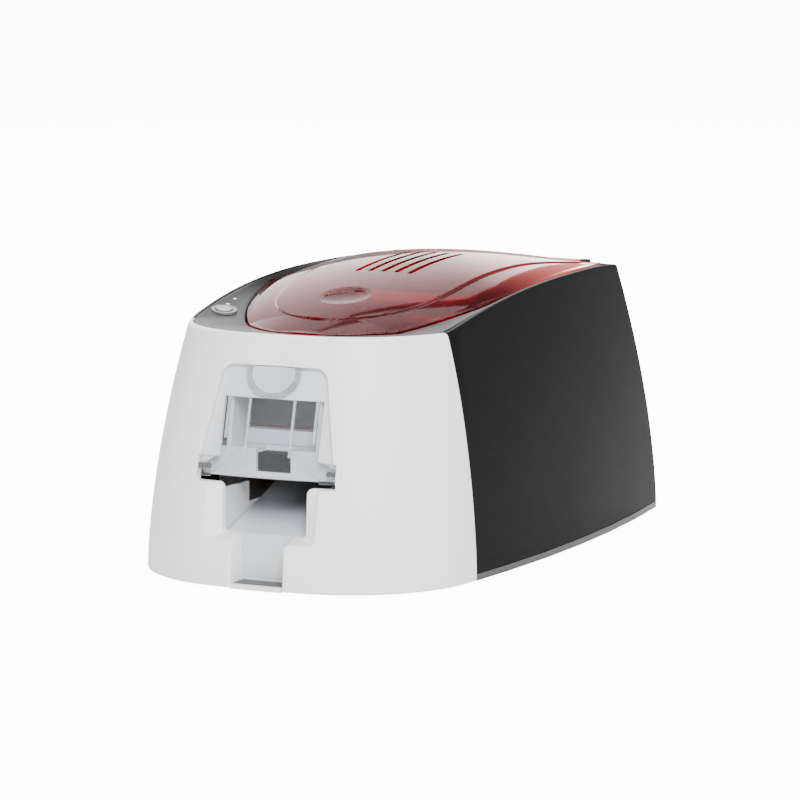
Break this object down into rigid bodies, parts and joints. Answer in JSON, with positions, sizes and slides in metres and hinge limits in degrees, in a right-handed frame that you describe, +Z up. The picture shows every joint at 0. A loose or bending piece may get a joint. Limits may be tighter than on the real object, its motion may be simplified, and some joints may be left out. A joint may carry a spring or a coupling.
{
  "type": "id card printer",
  "caption": "Desktop card printer with a hinged see-through lid that carries the print head, a clear front card feeder cover, an output opening and a geared roller drive.",
  "frame": {"origin": "on the surface it stands on, under the middle of the body", "axes": "+X to the right seen from the front, +Y to the rear, +Z up"},
  "size_m": [0.226, 0.3804, 0.1775],
  "materials": {
    "white_shell": "fine satin, soft edges",
    "charcoal_shell": "fine even texture",
    "bezel_grey": "smooth satin",
    "red_lid": "clear tinted, polished",
    "clear_cover": "clear, polished, lightly frosted dish",
    "inner_white": "satin",
    "card_white": "smooth",
    "black_plastic": "satin",
    "dark_grey_plastic": "satin",
    "button_grey": "satin",
    "lens": "clear",
    "steel": "brushed",
    "plated_sheet": "zinc plated",
    "head_metal": "cast, with cooling fins",
    "bronze": "sintered, oiled",
    "gear_plastic": "moulded",
    "roller_rubber": "ground",
    "foot_rubber": "matte",
    "ribbon": "film",
    "board_green": "solder mask"
  },
  "bodies": {
    "housing": {"base_tray": "black_plastic", "rubber_feet": "foot_rubber", "front_cover": "white_shell", "left_side_cover": "charcoal_shell", "right_side_cover": "charcoal_shell", "rear_panel": "charcoal_shell", "top_bezel": "bezel_grey", "lid_hinge_pins": "steel", "latch_catch_bar": "dark_grey_plastic", "feeder_cover_bushes": "inner_white", "feeder_tray": "inner_white", "blank_cards": "card_white", "output_hopper": "inner_white", "output_cards": "card_white", "button_ring": "dark_grey_plastic", "button_switch_board": "board_green", "indicator_lights": "lens", "left_chassis_plate": "plated_sheet", "right_chassis_plate": "plated_sheet", "roller_bushes": "bronze", "idler_studs": "steel", "drive_motor": "dark_grey_plastic", "ribbon_cassette": "black_plastic", "ribbon_film": "ribbon", "ribbon_motor": "dark_grey_plastic", "main_board": "board_green", "power_socket": "black_plastic", "usb_socket": "steel", "base_screws": "steel"},
    "lid_unit": {"lid": "red_lid", "lid_hinge_tube": "red_lid", "lid_latch_hook": "red_lid", "print_head_carrier": "dark_grey_plastic", "print_head": "head_metal"},
    "feeder_cover_unit": {"feeder_cover": "clear_cover", "feeder_cover_pins": "black_plastic"},
    "button": {"control_button": "button_grey"},
    "pick_roller": {"pick_roller_rubber": "roller_rubber", "pick_shaft": "steel", "pick_gear": "gear_plastic"},
    "entry_roller": {"entry_roller_rubber": "roller_rubber", "entry_shaft": "steel", "entry_gear": "gear_plastic"},
    "platen_roller": {"platen_roller_rubber": "roller_rubber", "platen_shaft": "steel", "platen_gear": "gear_plastic"},
    "rear_roller": {"rear_roller_rubber": "roller_rubber", "rear_shaft": "steel", "rear_gear": "gear_plastic"},
    "front_idler": {"front_idler_gear": "gear_plastic"},
    "middle_idler": {"middle_idler_gear": "gear_plastic"},
    "rear_idler": {"rear_idler_gear": "gear_plastic"},
    "drive_rotor": {"drive_motor_shaft": "steel", "drive_pinion": "bronze"},
    "supply_reel": {"supply_spool": "ribbon"},
    "take_up_reel": {"take_up_spool": "ribbon", "take_up_gear": "gear_plastic"},
    "ribbon_rotor": {"ribbon_pinion": "bronze"},
    "flap": {"card_flap": "dark_grey_plastic"}
  },
  "joints": [
    {"name": "lid_hinge", "type": "hinge", "parent": "housing", "child": "lid_unit", "pos_m": [0, 0.146, 0.165], "axis": [-1, 0, 0], "range_deg": [0, 75]},
    {"name": "feeder_cover_hinge", "type": "hinge", "parent": "housing", "child": "feeder_cover_unit", "pos_m": [0, -0.1714, 0.0706], "axis": [1, 0, 0], "range_deg": [0, 70]},
    {"name": "button_press", "type": "slide", "parent": "housing", "child": "button", "axis": [-0.1464, 0.1392, -0.9794], "range_m": [0, 0.0008], "stiffness_N_per_m": 1500},
    {"name": "platen_spin", "type": "hinge", "parent": "housing", "child": "platen_roller", "pos_m": [0, 0.02046, 0.073], "axis": [1, 0, 0], "continuous": true},
    {"name": "pick_spin", "type": "hinge", "parent": "housing", "child": "pick_roller", "pos_m": [0, -0.11154, 0.073], "axis": [1, 0, 0], "continuous": true},
    {"name": "entry_spin", "type": "hinge", "parent": "housing", "child": "entry_roller", "pos_m": [0, -0.04554, 0.073], "axis": [1, 0, 0], "continuous": true},
    {"name": "rear_spin", "type": "hinge", "parent": "housing", "child": "rear_roller", "pos_m": [0, 0.08646, 0.073], "axis": [1, 0, 0], "continuous": true},
    {"name": "front_idler_spin", "type": "hinge", "parent": "housing", "child": "front_idler", "pos_m": [0, -0.07854, 0.073], "axis": [1, 0, 0], "continuous": true},
    {"name": "middle_idler_spin", "type": "hinge", "parent": "housing", "child": "middle_idler", "pos_m": [0, -0.01254, 0.073], "axis": [1, 0, 0], "continuous": true},
    {"name": "rear_idler_spin", "type": "hinge", "parent": "housing", "child": "rear_idler", "pos_m": [0, 0.05346, 0.073], "axis": [1, 0, 0], "continuous": true},
    {"name": "drive_motor_spin", "type": "hinge", "parent": "housing", "child": "drive_rotor", "pos_m": [0, -0.01254, 0.046], "axis": [1, 0, 0], "continuous": true},
    {"name": "take_up_spin", "type": "hinge", "parent": "housing", "child": "take_up_reel", "pos_m": [0, -0.05654, 0.116], "axis": [1, 0, 0], "continuous": true},
    {"name": "supply_spin", "type": "hinge", "parent": "housing", "child": "supply_reel", "pos_m": [0, 0.08646, 0.118], "axis": [1, 0, 0], "continuous": true},
    {"name": "ribbon_motor_spin", "type": "hinge", "parent": "housing", "child": "ribbon_rotor", "pos_m": [0, -0.08054, 0.116], "axis": [1, 0, 0], "continuous": true},
    {"name": "flap_turn", "type": "hinge", "parent": "housing", "child": "flap", "pos_m": [0, -0.05854, 0.072], "axis": [1, 0, 0], "range_deg": [-25, 0]}
  ],
  "couplings": [
    {"joint": "pick_spin", "follows": "platen_spin", "ratio": 1},
    {"joint": "entry_spin", "follows": "platen_spin", "ratio": 1},
    {"joint": "rear_spin", "follows": "platen_spin", "ratio": 1},
    {"joint": "front_idler_spin", "follows": "platen_spin", "ratio": -0.57143},
    {"joint": "middle_idler_spin", "follows": "platen_spin", "ratio": -0.57143},
    {"joint": "rear_idler_spin", "follows": "platen_spin", "ratio": -0.57143},
    {"joint": "drive_motor_spin", "follows": "platen_spin", "ratio": 2},
    {"joint": "supply_spin", "follows": "take_up_spin", "ratio": 0.6667},
    {"joint": "ribbon_motor_spin", "follows": "take_up_spin", "ratio": -3}
  ]
}
